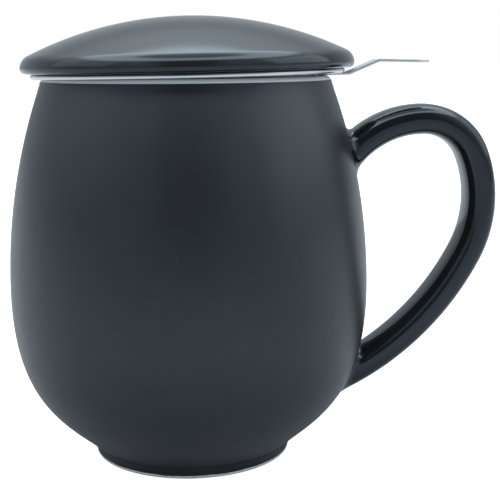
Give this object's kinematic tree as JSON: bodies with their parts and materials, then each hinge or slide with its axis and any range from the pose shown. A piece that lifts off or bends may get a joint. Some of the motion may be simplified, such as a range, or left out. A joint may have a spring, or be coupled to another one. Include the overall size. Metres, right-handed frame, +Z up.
{
  "type": "lidded tea mug with infuser",
  "caption": "Round-bellied stoneware tea mug with a loop handle, a lift-out perforated steel infuser with a lifting tab, and a loose domed lid.",
  "frame": {"origin": "centre of the foot ring, on the plane that the mug stands on", "axes": "+Z up along the mug's axis, +X toward the handle and the infuser's lifting tab, +Y away from the viewer of the picture"},
  "size_m": [0.1229, 0.09, 0.11],
  "materials": {
    "mug_glaze": "satin black glaze, bare pale stoneware under the foot and a pale line on the lip",
    "lid_glaze": "glossier black glaze of the same batch",
    "infuser_steel": "polished stainless steel sheet"
  },
  "bodies": {
    "mug": {"mug_body": "mug_glaze", "handle": "mug_glaze"},
    "infuser": {"infuser_rim": "infuser_steel", "infuser_wall": "infuser_steel", "infuser_base": "infuser_steel", "infuser_tab": "infuser_steel"},
    "lid": {"lid": "lid_glaze"}
  },
  "joints": [
    {"name": "infuser_lift", "type": "slide", "parent": "mug", "child": "infuser", "axis": [-0.0147, 0, 0.9999], "range_m": [0, 0.08]},
    {"name": "lid_lift", "type": "slide", "parent": "infuser", "child": "lid", "axis": [-0.0147, 0, 0.9999], "range_m": [0, 0.03]}
  ]
}
